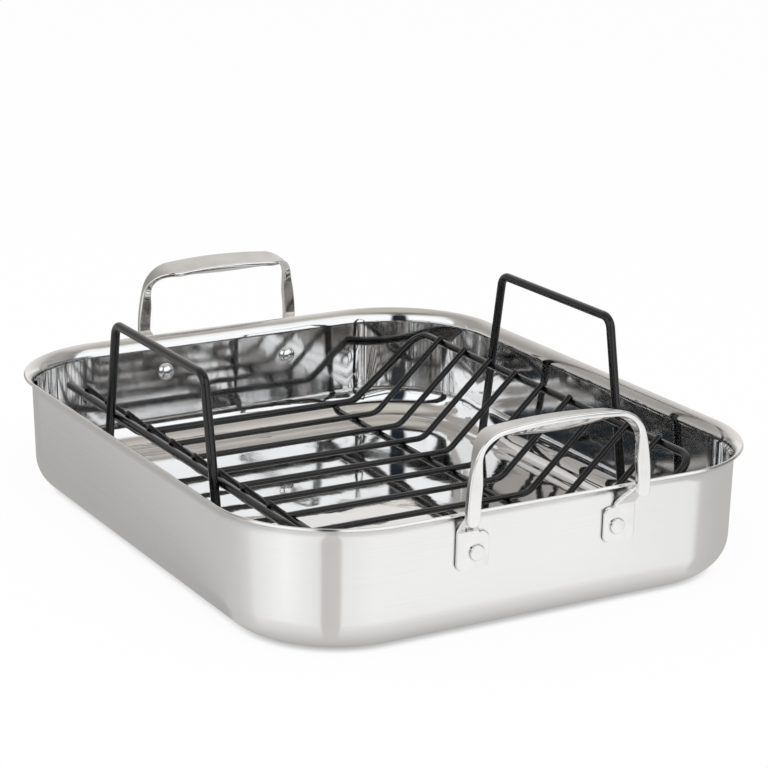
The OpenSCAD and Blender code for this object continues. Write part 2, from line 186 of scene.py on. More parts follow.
class Tree:
    """A node tree, built by short calls. A value is a number, a colour or a node's output."""

    def __init__(self, tree):
        self.tree = tree

    def add(self, kind, **values):
        node = self.tree.nodes.new(kind)
        for key, value in values.items():
            setattr(node, key, value)
        return node

    def link(self, source, target):
        self.tree.links.new(source, target)

    def feed(self, value, socket):
        if isinstance(value, (int, float)):
            socket.default_value = value
        elif isinstance(value, tuple):
            socket.default_value = (*value, 1)
        else:
            self.link(value, socket)

    def combine(self, operation, a, b):
        node = self.add("ShaderNodeMath", operation=operation)
        self.feed(a, node.inputs[0])
        self.feed(b, node.inputs[1])
        return node.outputs[0]

    def spread(self, value, low, high, from_low=NOISE_LOW, from_high=NOISE_HIGH):
        node = self.add("ShaderNodeMapRange")
        limits = {"From Min": from_low, "From Max": from_high, "To Min": low, "To Max": high}
        for key, number in limits.items():
            node.inputs[key].default_value = number
        self.link(value, node.inputs["Value"])
        return node.outputs["Result"]

    def ramp(self, value, stops):
        node = self.add("ShaderNodeValToRGB")
        elements = node.color_ramp.elements
        while len(elements) < len(stops):
            elements.new(0.5)
        for element, (position, color) in zip(elements, stops):
            element.position = position
            element.color = (*color, 1)
        self.link(value, node.inputs["Fac"])
        return node.outputs["Color"]

    def mix_colors(self, factor, a, b, blend="MIX"):
        node = self.add("ShaderNodeMix", data_type="RGBA", blend_type=blend)
        for number, value in ((0, factor), (6, a), (7, b)):
            self.feed(value, node.inputs[number])
        return node.outputs[2]

    def mix_shaders(self, factor, a, b):
        node = self.add("ShaderNodeMixShader")
        for number, value in enumerate((factor, a, b)):
            self.feed(value, node.inputs[number])
        return node.outputs[0]

    def lit(self, kind, color, strength=1.0):
        """An emission or a background of one colour."""
        node = self.add(kind)
        self.feed(color, node.inputs["Color"])
        self.feed(strength, node.inputs["Strength"])
        return node.outputs[0]

    def by_ray(self, plain, mirrored, seen):
        """What lights the part, what its steel mirrors and what the camera sees."""
        ray = self.add("ShaderNodeLightPath")
        unseen = self.mix_shaders(ray.outputs["Is Glossy Ray"], plain, mirrored)
        return self.mix_shaders(ray.outputs["Is Camera Ray"], unseen, seen)

    def axes(self, vector):
        node = self.add("ShaderNodeSeparateXYZ")
        self.link(vector, node.inputs[0])
        return node.outputs

    def share_of_turn(self, angle):
        """An angle from -180 to 180 degrees, in radians, as a position from 0 to 1 on a ramp."""
        return self.combine("ADD", self.combine("DIVIDE", angle, 2 * math.pi), 0.5)


class Nodes(Tree):
    """A material of its own with one principled shader."""

    def __init__(self, name, metallic=1.0):
        self.material = bpy.data.materials.new(name)
        self.material.use_nodes = True
        super().__init__(self.material.node_tree)
        self.shader = self.tree.nodes["Principled BSDF"]
        self.object_space = None
        self.set(Metallic=metallic)

    def set(self, **values):
        for key, value in values.items():
            self.feed(value, self.shader.inputs[key.replace("_", " ")])

    def coordinates(self, scale=(1, 1, 1)):
        if self.object_space is None:
            self.object_space = self.add("ShaderNodeTexCoord").outputs["Object"]
        mapping = self.add("ShaderNodeMapping")
        mapping.inputs["Scale"].default_value = scale
        self.link(self.object_space, mapping.inputs["Vector"])
        return mapping.outputs["Vector"]

    def noise(self, scale, detail, stretch=(1, 1, 1), roughness=0.5):
        node = self.add("ShaderNodeTexNoise")
        for key, number in (("Scale", scale), ("Detail", detail), ("Roughness", roughness)):
            node.inputs[key].default_value = number
        self.link(self.coordinates(stretch), node.inputs["Vector"])
        return node.outputs["Fac"]

    def blend(self, value, low, high):
        """A colour that goes with a noise from low to high."""
        return self.ramp(value, [(NOISE_LOW, low), (NOISE_HIGH, high)])

    def bumps(self, *layers):
        """Layers of height: each is a value, a strength and a height in metres."""
        last = None
        for height, strength, distance in layers:
            node = self.add("ShaderNodeBump")
            node.inputs["Strength"].default_value = strength
            node.inputs["Distance"].default_value = distance
            self.link(height, node.inputs["Height"])
            if last is not None:
                self.link(last, node.inputs["Normal"])
            last = node.outputs["Normal"]
        self.set(Normal=last)

    def gap(self, reach, samples):
        """Goes from 0 in a narrow gap to 1 in the open; the reach is in metres."""
        node = self.add("ShaderNodeAmbientOcclusion", samples=samples)
        node.inputs["Distance"].default_value = reach
        return node.outputs["AO"]

    def painted_crevice_shade(self, color, reach, dark):
        """Paints shade into a colour: darkens it in the narrow gaps where pieces meet, where shade falls."""
        shade = self.ramp(self.gap(reach, 8), [(0.25, tone(dark)), (0.8, tone(1.0))])
        self.set(Base_Color=self.mix_colors(1.0, color, shade, "MULTIPLY"))

    def grain_across(self, amount):
        """Grain that runs level round the part, so that reflections smear up and down."""
        tangent = self.add("ShaderNodeTangent", direction_type="RADIAL", axis="Z")
        self.set(Anisotropic=amount, Anisotropic_Rotation=0.25, Tangent=tangent.outputs["Tangent"])


def brushed_outside():
    m = Nodes("pan_brushed_outside")
    streaks = m.noise(9, 4, (1, 1, 160), 0.65)
    fine = m.noise(14, 3, (1, 1, 420), 0.6)
    cloud = m.noise(11, 3)
    both = m.combine("ADD", m.combine("MULTIPLY", streaks, 0.6), m.combine("MULTIPLY", cloud, 0.4))
    # Painted shade: the colour darkens in the narrow gaps where the handles' pads meet the wall.
    m.painted_crevice_shade(m.blend(both, (0.88, 0.875, 0.87), (0.93, 0.93, 0.925)), 0.0022, 0.35)
    m.set(Roughness=m.spread(streaks, 0.15, 0.21))
    m.grain_across(0.95)
    m.bumps((fine, 0.08, 0.00003), (streaks, 0.03, 0.00004), (cloud, 0.03, 0.0006))
    return m.material


def brushed_base():
    m = Nodes("pan_brushed_base")
    cloud = m.noise(16, 4)
    scratch = m.noise(60, 5, (1, 14, 1), 0.7)
    m.set(Base_Color=m.blend(scratch, (0.70, 0.70, 0.69), (0.80, 0.80, 0.79)),
          Roughness=m.spread(cloud, 0.30, 0.42))
    m.bumps((scratch, 0.12, 0.00005))
    return m.material


def mirror_inside():
    """The walls, from 8 to 22 mm up, turn a little less sharp than the floor."""
    m = Nodes("pan_mirror_inside")
    sway = m.noise(16, 2)
    ripple = m.noise(70, 2, (1, 1, 0.4))
    hair = m.noise(500, 3, (1, 1, 0.15), 0.7)
    wipe = m.noise(24, 4, roughness=0.6)
    wall = m.spread(m.axes(m.coordinates())[2], 0.0, 0.018, 8 * MM, 22 * MM)
    m.set(Base_Color=m.blend(wipe, (0.83, 0.825, 0.82), (0.88, 0.88, 0.88)),
          Roughness=m.combine("ADD", m.spread(wipe, 0.015, 0.07), wall))
    m.grain_across(0.85)
    m.bumps((sway, 0.24, 0.0016), (ripple, 0.20, 0.0003), (hair, 0.02, 0.00002))
    return m.material


def satin_rim():
    m = Nodes("pan_rim_satin")
    streaks = m.noise(30, 4, (1, 1, 6), 0.65)
    cloud = m.noise(30, 3)
    m.set(Base_Color=m.blend(cloud, (0.80, 0.79, 0.775), (0.87, 0.865, 0.855)),
          Roughness=m.spread(streaks, 0.13, 0.20))
    m.bumps((streaks, 0.08, 0.00008), (cloud, 0.06, 0.0004))
    return m.material


def satin_handle():
    m = Nodes("handle_satin")
    along = m.noise(60, 5, (5, 0.35, 1), 0.7)
    cloud = m.noise(45, 3)
    m.set(Base_Color=m.blend(cloud, (0.57, 0.56, 0.54), (0.68, 0.675, 0.655)),
          Roughness=m.spread(along, 0.20, 0.30))
    m.bumps((along, 0.12, 0.00006))
    return m.material


def polished_handle():
    m = Nodes("handle_polished")
    sway = m.noise(90, 2)
    buff = m.noise(260, 4, (1, 1, 0.3), 0.7)
    # Painted shade: the colour darkens in the narrow gaps where the handle meets the wall and the rivets.
    m.painted_crevice_shade(m.blend(sway, (0.87, 0.865, 0.855), (0.94, 0.937, 0.93)), 0.0026, 0.24)
    m.set(Roughness=m.spread(buff, 0.05, 0.12))
    m.bumps((sway, 0.12, 0.0005), (buff, 0.05, 0.00003))
    return m.material


def polished_rivet():
    m = Nodes("rivet_polished")
    buff = m.noise(400, 4, roughness=0.7)
    # Painted shade: the colour darkens in the narrow gaps where the rivet meets the pad and the wall.
    m.painted_crevice_shade(m.blend(buff, (0.86, 0.855, 0.85), (0.93, 0.93, 0.93)), 0.0012, 0.30)
    m.set(Roughness=m.spread(buff, 0.06, 0.14))
    m.bumps((buff, 0.08, 0.00004))
    return m.material


def dark_coating():
    m = Nodes("rack_dark_coating", metallic=0.0)
    peel = m.noise(900, 3)
    run = m.noise(120, 3)
    cloud = m.noise(40, 3)
    m.set(IOR=1.42, Coat_Weight=0.35, Coat_Roughness=0.06,
          Base_Color=m.blend(cloud, (0.003, 0.003, 0.0035), (0.006, 0.006, 0.007)),
          Roughness=m.spread(run, 0.13, 0.20))
    m.bumps((peel, 0.08, 0.00005), (run, 0.08, 0.0002))
    return m.material


OUTSIDE, BASE, INSIDE, RIM = brushed_outside(), brushed_base(), mirror_inside(), satin_rim()
SATIN, POLISH, RIVET, COATING = satin_handle(), polished_handle(), polished_rivet(), dark_coating()


# Pan shell: the wall's section carried round the rounded rectangle

PAN_MATERIALS = [INSIDE, RIM, OUTSIDE, BASE]
ON_INSIDE, ON_RIM, ON_OUTSIDE, ON_BASE = range(4)
LIP = 0.6
FILLET_STEPS, INNER_RIM_STEPS, OUTER_RIM_STEPS, LIP_STEPS, WALL_STEPS = 28, 20, 16, 6, 6

# Rows of the inner rim's arc that are still polished, and of the outer fillet that belong to the base
POLISHED_ROWS, BASE_ROWS = 9, 4
CORNER_STEPS, SIDE_STEPS = 48, 8


def arc_profile(middle, radius, start, end, steps, outward):
    """Points and outward normals on an arc of the section, angles in degrees."""
    rows = []
    for i in range(steps + 1):
        a = math.radians(start + (end - start) * i / steps)
        c, s = math.cos(a), math.sin(a)
        rows.append((middle[0] + radius * c, middle[1] + radius * s, c * outward, s * outward))
    return rows


def straight_profile(low, high):
    """Rows of the section between the last of one arc and the first of the next."""
    return [tuple(low[k] + (high[k] - low[k]) * i / WALL_STEPS for k in range(4))
            for i in range(1, WALL_STEPS)]


def pan_section():
    """Rows from the middle of the floor over the rim to the middle of the base, each with its material."""
    draft = math.degrees(DRAFT)
    floor_middle, rim_middle = (FLOOR_FLAT, FLOOR_CURVE), (RIM_CURVE_R, RIM_CURVE_Z)
    lip_angle = 180 - math.degrees(RIM_TURN)
    inner_curve = RIM_CURVE + PAN_WALL
    lip_turn = math.degrees(LIP / inner_curve)
    turn = math.radians(lip_angle)
    along, out = (math.sin(turn), -math.cos(turn)), (math.cos(turn), math.sin(turn))

    def lip_arc(radius, start):
        middle = tuple(rim_middle[k] + radius * out[k] - LIP * along[k] for k in range(2))
        return arc_profile(middle, LIP, start, start - 90, LIP_STEPS, 1)

    inner_fillet = arc_profile(floor_middle, FLOOR_CURVE - PAN_WALL, -90, -draft, FILLET_STEPS, -1)
    inner_rim = arc_profile(rim_middle, inner_curve, 180 - draft, lip_angle + lip_turn, INNER_RIM_STEPS, 1)
    inner_wall = straight_profile(inner_fillet[-1], inner_rim[0])
    lip = lip_arc(inner_curve - LIP, lip_angle) + lip_arc(RIM_CURVE + LIP, lip_angle - 90)
    outer_rim = arc_profile(rim_middle, RIM_CURVE, lip_angle + lip_turn, 180 - draft, OUTER_RIM_STEPS, -1)
    outer_fillet = arc_profile(floor_middle, FLOOR_CURVE, -draft, -90, FILLET_STEPS, 1)
    outer_wall = straight_profile(outer_rim[-1], outer_fillet[0])
    zones = (
        (ON_INSIDE, inner_fillet + inner_wall + inner_rim[:POLISHED_ROWS]),
        (ON_RIM, inner_rim[POLISHED_ROWS:] + lip),
        (ON_OUTSIDE, outer_rim + outer_wall + outer_fillet[:-BASE_ROWS]),
        (ON_BASE, outer_fillet[-BASE_ROWS:]),
    )
    return [(material, row) for material, rows in zones for row in rows]


def pan_stations():
    """Middle and direction of each section: round every corner, then along the wall to the next."""
    corners = ((1, 1), (-1, 1), (-1, -1), (1, -1))
    stations = []
    for number, (sx, sy) in enumerate(corners):
        for i in range(CORNER_STEPS + 1):
            a = math.radians(90 * number + 90 * i / CORNER_STEPS)
            stations.append((sx * CORNER_X, sy * CORNER_Y, math.cos(a), math.sin(a)))
        nx, ny = corners[(number + 1) % 4]
        end = math.radians(90 * (number + 1))
        for i in range(1, SIDE_STEPS):
            t = i / SIDE_STEPS
            stations.append((CORNER_X * (sx + (nx - sx) * t), CORNER_Y * (sy + (ny - sy) * t),
                             math.cos(end), math.sin(end)))
    return stations


def pan_shell():
    section, stations = pan_section(), pan_stations()
    rows, count = len(section), len(stations)
    points, normals = [], []
    for mx, my, c, s in stations:
        for _, (r, z, nr, nz) in section:
            points.append((mx + r * c, my + r * s, z))
            normals.append((nr * c, nr * s, nz))
    faces, kinds = [], []
    for i in range(count):
        a, b = i * rows, (i + 1) % count * rows
        for j in range(rows - 1):
            faces.append((a + j, a + j + 1, b + j + 1, b + j))
            kinds.append(section[j + 1][0])
    faces.append(tuple(i * rows for i in range(count)))
    faces.append(tuple(i * rows + rows - 1 for i in range(count - 1, -1, -1)))
    kinds += [ON_INSIDE, ON_BASE]
    return make("pan_shell", points, faces, PAN_MATERIALS, kinds, normals)


settle(pan_shell(), "pan", "pan_steel", "pan_body")


# Pan handles: a bow grip and two strips that hold it to the wall

HANDLE_MATERIALS = [SATIN, POLISH]
ON_SATIN, ON_POLISH = range(2)
GRIP_HEIGHT, GRIP_WIDTH, GRIP_EDGE, GRIP_BELLY, STANDOFF = 48.7, 20.2, 3.3, 5.2, 9.5
LEG_WIDTH, LEG_THICKNESS, LEG_REACH, LEG_DROP = 8.2, 4.6, 13.3, 6
OUTER_X = RIM_LENGTH / 2 + STANDOFF
GRIP_TOP = PAN_HEIGHT + GRIP_HEIGHT
LEG_SPREAD = RIVET_Y + LEG_REACH
LEG_MIDDLE = OUTER_X - LEG_THICKNESS / 2
LEG_END_Z = PAN_HEIGHT - LEG_DROP
TOP_TURN, LEG_TURN, BEND, BOW = math.radians(5.7), math.radians(14.3), 21.9, 120
BEND_TURN = math.pi / 2 - LEG_TURN - TOP_TURN
BEND_REACH = BEND * (math.cos(LEG_TURN) - math.sin(TOP_TURN))
TOP_BOW = (LEG_SPREAD - BEND_REACH - BOW * (1 - math.cos(LEG_TURN))) / math.sin(TOP_TURN)
BEND_Z = GRIP_TOP - TOP_BOW * (1 - math.cos(TOP_TURN))
LEG_START_Z = BEND_Z - BEND * (math.cos(TOP_TURN) - math.sin(LEG_TURN))
WAIST_Z = LEG_START_Z - BOW * math.sin(LEG_TURN)
END_TURN = math.asin((WAIST_Z - LEG_END_Z) / BOW)
LEG_LENGTH = BOW * (LEG_TURN + END_TURN)
TOP_END = TOP_BOW * TOP_TURN
BEND_END = TOP_END + BEND * BEND_TURN
LEG_END = BEND_END + LEG_LENGTH
END_ROUND, END_THIN, END_NARROW = 4, 0.6, 0.16
TOP_STEPS, BEND_STEPS, LEG_STEPS, END_STEPS = 24, 32, 26, 12

# How far before the bend's end the grip starts to turn narrow and to turn deep, and over what lengths
NARROW_BEFORE, NARROW_RUN, DEEPEN_BEFORE, DEEPEN_RUN = 30, 36, 12, 28
GRIP_TILT, BELLY_REACH = math.radians(10.8), 40
EDGE_ROUND, EDGE_STEP, BELLY_STEPS = 1.15, 15, 12
SATIN_SIDES = range(6, 9)


def ease(t):
    c = min(max(t, 0), 1)
    return c * c * (3 - 2 * c)


def grip_course():
    """Y, Z, turn from level and length from the middle, along the outer edge."""
    half = []
    for i in range(1, TOP_STEPS + 1):
        a = TOP_TURN * i / TOP_STEPS
        half.append((TOP_BOW * math.sin(a), GRIP_TOP - TOP_BOW * (1 - math.cos(a)), a, TOP_BOW * a))
    for i in range(1, BEND_STEPS + 1):
        a = TOP_TURN + BEND_TURN * i / BEND_STEPS
        half.append((TOP_BOW * math.sin(TOP_TURN) + BEND * (math.sin(a) - math.sin(TOP_TURN)),
                     BEND_Z - BEND * (math.cos(TOP_TURN) - math.cos(a)), a, TOP_END + BEND * (a - TOP_TURN)))
    lengths = [LEG_LENGTH * i / LEG_STEPS for i in range(1, LEG_STEPS)]
    lengths = [v for v in lengths if v < LEG_LENGTH - END_ROUND]
    lengths += [LEG_LENGTH - END_ROUND + END_ROUND * math.sin(a) for a in quarter(END_STEPS)]
    for v in lengths:
        a = math.pi / 2 - LEG_TURN + v / BOW
        half.append((LEG_SPREAD - BOW * (1 - math.sin(a)), WAIST_Z + BOW * math.cos(a), a, BEND_END + v))
    return [(-y, z, -a, s) for y, z, a, s in reversed(half)] + [(0, GRIP_TOP, 0, 0)] + half


def grip_section(width, depth, belly):
    """Outline from the outer edge toward the pan: a flat top, rounded edges and a belly."""
    r = EDGE_ROUND
    turn = [(math.cos(math.radians(a)), math.sin(math.radians(a))) for a in range(0, 361, EDGE_STEP)]
    flat = width - 2 * r
    points = [(-r + r * c, -r + r * s) for c, s in turn[0:7]]
    points += [(-r - flat * t, 0) for t in (0.06, 0.94)]
    points += [(r - width + r * c, -r + r * s) for c, s in turn[6:13]]
    points += [(r - width + r * c, r - depth + r * s) for c, s in turn[12:18]]
    for i in range(1, BELLY_STEPS):
        across = 2 * i / BELLY_STEPS - 1
        points.append((r - width + flat * i / BELLY_STEPS, -depth - belly * (1 - across ** 2)))
    points += [(-r + r * c, r - depth + r * s) for c, s in turn[19:25]]
    return points


def grip(side):
    rings = []
    for y, z, turn, s in grip_course():
        b = ease((s - BEND_END + NARROW_BEFORE) / NARROW_RUN)
        c = ease((s - BEND_END + DEEPEN_BEFORE) / DEEPEN_RUN)
        width = GRIP_WIDTH * (1 - b) + LEG_THICKNESS * b
        depth = GRIP_EDGE * (1 - c) + LEG_WIDTH * c
        belly = GRIP_BELLY * max(1 - (s / BELLY_REACH) ** 2, 0)
        tilt = GRIP_TILT * (1 - b)
        left = min(max(LEG_END - s, 0) / END_ROUND, 1)
        rounding = math.sqrt(1 - (1 - left) ** 2)
        thin, narrow = END_THIN + (1 - END_THIN) * rounding, END_NARROW + (1 - END_NARROW) * rounding
        ring = []
        for u, v in grip_section(width, depth, belly):
            u, v = (u + width / 2) * thin - width / 2, (v + depth / 2) * narrow - depth / 2
            across = u * math.cos(tilt) - v * math.sin(tilt)
            out = u * math.sin(tilt) + v * math.cos(tilt)
            ring.append((side * (OUTER_X + across), side * (y + out * math.sin(turn)),
                         z + out * math.cos(turn)))
        rings.append(ring)
    sides = len(rings[0])
    kinds = [ON_SATIN if j in SATIN_SIDES else ON_POLISH for _ in rings[1:] for j in range(sides)]
    return flatten(rings), turned_over(skin(rings, sides)), kinds + [ON_POLISH, ON_POLISH]


PAD, PAD_THICKNESS, PAD_SHIFT = 20.5, 2.6, 2
PAD_MIDDLE = RIVET_Y + PAD_SHIFT
STRIP_BEND, STRIP_TURN, FILLET, RISE, STRIP_BREAK = 5, math.radians(38), 1.6, 0.1, 0.9
STRIP_CORNER, STRIP_STEP, STRIP_TIP = PAD * 0.18, PAD * 0.33, PAD * 0.67
FOOT = 0.9 - PAD / 2
FOOT_X = WALL_X + PAD_THICKNESS / 2 * math.cos(DRAFT) + FOOT * math.sin(DRAFT)
FOOT_Z = RIVET_Z - PAD_THICKNESS / 2 * math.sin(DRAFT) + FOOT * math.cos(DRAFT)
NECK_LEAN = DRAFT + STRIP_TURN
NECK_ARC = STRIP_BEND * STRIP_TURN
NECK_X = FOOT_X + PAD * math.sin(DRAFT) + STRIP_BEND * (math.cos(DRAFT) - math.cos(NECK_LEAN))
NECK_RUN = (LEG_MIDDLE - NECK_X) / math.sin(NECK_LEAN)
FILLET_END = PAD + RISE + FILLET
STRIP_END = PAD + NECK_ARC + NECK_RUN
STRIP_CORNER_STEPS, STRIP_RUN_STEPS = 10, 40
BREAK_TURNS = (0, -22.5, -45, -67.5, -90)


def strip_stations():
    """Length from the foot, and how far the inner and the outer edge are set in."""
    quarters = [(1 - math.cos(a), 1 - math.sin(a)) for a in quarter(STRIP_CORNER_STEPS)]
    foot = [(STRIP_CORNER * c, STRIP_CORNER * s, STRIP_CORNER * s) for c, s in quarters]
    shoulder = [(PAD - STRIP_CORNER * s, STRIP_CORNER * c, 0) for c, s in quarters]
    fillet = [(FILLET_END - FILLET * (1 - c), STRIP_STEP - FILLET * s, 0) for c, s in quarters]
    shares = [i / STRIP_RUN_STEPS for i in range(1, STRIP_RUN_STEPS + 1)]
    neck = [(FILLET_END + (STRIP_END - FILLET_END) * t, STRIP_STEP + (STRIP_TIP - STRIP_STEP) * t, 0)
            for t in shares]
    return foot + shoulder + fillet + neck


def strip(side, hand):
    rings = []
    half = PAD_THICKNESS / 2 - STRIP_BREAK
    for length, inner, outer in strip_stations():
        on_pad = min(length, PAD)
        lean = DRAFT + STRIP_TURN * min(max(length - PAD, 0) / NECK_ARC, 1)
        run = max(length - PAD - NECK_ARC, 0)
        bend_x = STRIP_BEND * (math.cos(DRAFT) - math.cos(lean))
        bend_z = STRIP_BEND * (math.sin(lean) - math.sin(DRAFT))
        px = FOOT_X + on_pad * math.sin(DRAFT) + bend_x + run * math.sin(lean)
        pz = FOOT_Z + on_pad * math.cos(DRAFT) + bend_z + run * math.cos(lean)
        low = PAD_MIDDLE - PAD / 2 + inner + STRIP_BREAK
        high = PAD_MIDDLE + PAD / 2 - outer - STRIP_BREAK
        ring = []
        for sign, y, start in ((1, low, 0), (-1, low, -90), (-1, high, -180), (1, high, -270)):
            for a in BREAK_TURNS:
                t = math.radians(start + a)
                u = sign * half + STRIP_BREAK * math.cos(t)
                ring.append((side * (px + u * math.cos(lean)), side * hand * (y + STRIP_BREAK * math.sin(t)),
                             pz - u * math.sin(lean)))
        rings.append(ring)
    faces = skin(rings, len(rings[0]))
    if hand > 0:
        faces = turned_over(faces)
    return flatten(rings), faces


def pan_handle(name, side):
    points, faces, kinds = grip(side)
    for hand in (1, -1):
        strip_points, strip_faces = strip(side, hand)
        faces += [tuple(i + len(points) for i in face) for face in strip_faces]
        points += strip_points
        kinds += [ON_POLISH] * len(strip_faces)
    piece = make(name, points, faces, HANDLE_MATERIALS, kinds)
    crisp(piece, 50)
    return piece


settle(pan_handle("front_bow_handle", 1), "pan", "handle_steel", "front_handle")
settle(pan_handle("back_bow_handle", -1), "pan", "handle_steel", "back_handle")


# Rivets: a low button outside and a dome inside; head, dome and shank are radii

RIVET_HEAD, RIVET_DOME, RIVET_SHANK, DOME_RISE = 4.5, 5.75, 2.2, 3.795
HEAD_FOOT, HEAD_EDGE, HEAD_ROUND, HEAD_ROUND_RISE, HEAD_CROWN = 0.15, 1.3, 0.7, 0.6, 0.5
CROWN_STOPS, CROWN_REACH = (0.66, 0.5, 0.34, 0.18, 0.06), 0.8
DOME_STEPS, HEAD_STEPS, RIVET_SIDES = 16, 12, 64


def rivet_profile():
    """Radius and height above the wall, from the dome's top inside the pan to the button's top."""
    shoulder, edge = RIVET_HEAD - HEAD_ROUND, PAD_THICKNESS + HEAD_EDGE
    profile = [(RIVET_DOME * math.sin(a), -PAN_WALL - DOME_RISE * math.cos(a))
               for a in quarter(DOME_STEPS, 1)]
    profile += [(RIVET_SHANK, -PAN_WALL), (RIVET_SHANK, PAD_THICKNESS)]
    profile += [(RIVET_HEAD - HEAD_FOOT, PAD_THICKNESS)]
    profile += [(shoulder + HEAD_ROUND * math.cos(a), edge + HEAD_ROUND_RISE * math.sin(a))
                for a in quarter(HEAD_STEPS)]
    crown = edge + HEAD_ROUND_RISE
    profile += [(shoulder * t / CROWN_REACH, crown + HEAD_CROWN * (1 - (t / CROWN_REACH) ** 2))
                for t in CROWN_STOPS]
    return profile


def rivet(name, side, y):
    rings = []
    for r, h in rivet_profile():
        ring = []
        for k in range(RIVET_SIDES):
            a = 2 * math.pi * k / RIVET_SIDES
            p, q = r * math.cos(a), r * math.sin(a)
            ring.append((side * (WALL_X + h * math.cos(DRAFT) + q * math.sin(DRAFT)), side * (y + p),
                         RIVET_Z - h * math.sin(DRAFT) + q * math.cos(DRAFT)))
        rings.append(ring)
    piece = make(name, flatten(rings), skin(rings, RIVET_SIDES), [RIVET])
    crisp(piece, 50)
    return piece


for name, side, y in (("front_left", 1, -RIVET_Y), ("front_right", 1, RIVET_Y),
                      ("back_left", -1, RIVET_Y), ("back_right", -1, -RIVET_Y)):
    settle(rivet(name + "_dome_rivet", side, y), "pan", "rivet_steel", name + "_rivet")


# Rack: round wires along filleted courses

CROSS, FRAME, LOWER, HANDLE = 4, 5, 4.6, 5.6
RACK_Z, SLOPE, SIDE, SHIFT = 21.5, math.radians(42.6), 70, 4.5
WELD, WIRE_BEND, FRAME_CORNER, HANDLE_CORNER = 0.15, 13, 12, 8
END_X = RIM_LENGTH / 2 - 46
PITCH = 2 * END_X / 10
HANDLE_Y = CORNER_Y + FLOOR_FLAT - 3.1
RAIL_Y = HANDLE_Y - (FRAME + HANDLE) / 2 + WELD
RAIL_DEPTH = (CROSS + FRAME) / 2 - WELD
RAIL_RUN = SIDE - 2
FLAT_HALF = RAIL_Y - RAIL_RUN * math.cos(SLOPE) - RAIL_DEPTH * math.sin(SLOPE)
RAIL_Z = RACK_Z + RAIL_RUN * math.sin(SLOPE) - RAIL_DEPTH * math.cos(SLOPE)
TIP_Y, TIP_Z = FLAT_HALF + SIDE * math.cos(SLOPE), RACK_Z + SIDE * math.sin(SLOPE)
LOWER_Z = RACK_Z - (CROSS + LOWER) / 2 + WELD
LOWER_TURN = math.radians(50)
LOWER_END_X = END_X - (FRAME / 2 - WELD) * math.cos(LOWER_TURN)
LOWER_END_Z = RACK_Z - (FRAME / 2 - WELD) * math.sin(LOWER_TURN)
LOWER_BEND = (LOWER_END_Z - LOWER_Z) / (1 - math.cos(LOWER_TURN))
LOWER_CORNER_X = LOWER_END_X - LOWER_BEND * math.sin(LOWER_TURN) + LOWER_BEND * math.tan(LOWER_TURN / 2)
LOWER_Y = FLAT_HALF - 14.5
HANDLE_TOP_X, HANDLE_TOP_Z = 62, 129 - HANDLE / 2
FOOT_HEIGHT = PAN_WALL + 0.3 + HANDLE / 2
SPLAY = math.radians(10.5)
HANDLE_FOOT_X = HANDLE_TOP_X + (HANDLE_TOP_Z - FOOT_HEIGHT) * math.tan(SPLAY)
WIRE_ROUND, RAIL_ROUND, FOOT_ROUND = 0.7, 0.3, 2.75
WIRE_SIDES, WIRE_END_STEPS, BEND_DEGREES, BEND_LEAST_STEPS, SAME_POINT = 28, 6, 4, 6, 0.02


def course(vertices, radii, closed=False):
    """Points along a polyline whose corners are rounded."""
    count = len(vertices)
    v = [np.array(p, float) for p in vertices]
    path = []
    for i in range(count):
        if not closed and i in (0, count - 1):
            path.append(v[i])
            continue
        before, after = unit(v[i - 1] - v[i]), unit(v[(i + 1) % count] - v[i])
        turn = math.pi - math.acos(max(-1, min(1, float(before @ after))))
        middle = v[i] + unit(before + after) * radii[i] / math.cos(turn / 2)
        start = v[i] + before * (radii[i] * math.tan(turn / 2))
        u = unit(start - middle)
        w = unit(np.cross(np.cross(u, -before), u))
        steps = max(BEND_LEAST_STEPS, int(math.degrees(turn) / BEND_DEGREES))
        for k in range(steps + 1):
            a = turn * k / steps
            path.append(middle + radii[i] * (u * math.cos(a) + w * math.sin(a)))
    spaced = [path[0]]
    for p in path[1:]:
        if np.linalg.norm(p - spaced[-1]) > SAME_POINT:
            spaced.append(p)
    if closed and np.linalg.norm(spaced[0] - spaced[-1]) < SAME_POINT:
        spaced.pop()
    return spaced


def wire_stations(path, r, closed, rounding):
    """Place, heading and radius along a wire, with softly rounded ends."""
    count = len(path)
    steps = [unit(path[(i + 1) % count] - path[i]) for i in range(count)]
    heads = [unit(steps[i] + steps[i - 1]) for i in range(count)]
    if closed:
        return [(p, h, r) for p, h in zip(path, heads)]
    low, high = steps[0], steps[-2]
    turns = quarter(WIRE_END_STEPS)
    first = [(path[0] + low * rounding * (1 - math.cos(a)), low, r - rounding + rounding * math.sin(a))
             for a in turns]
    last = [(path[-1] - high * rounding * (1 - math.sin(a)), high, r - rounding + rounding * math.cos(a))
            for a in turns]
    return first + [(p, h, r) for p, h in zip(path[1:-1], heads[1:-1])] + last


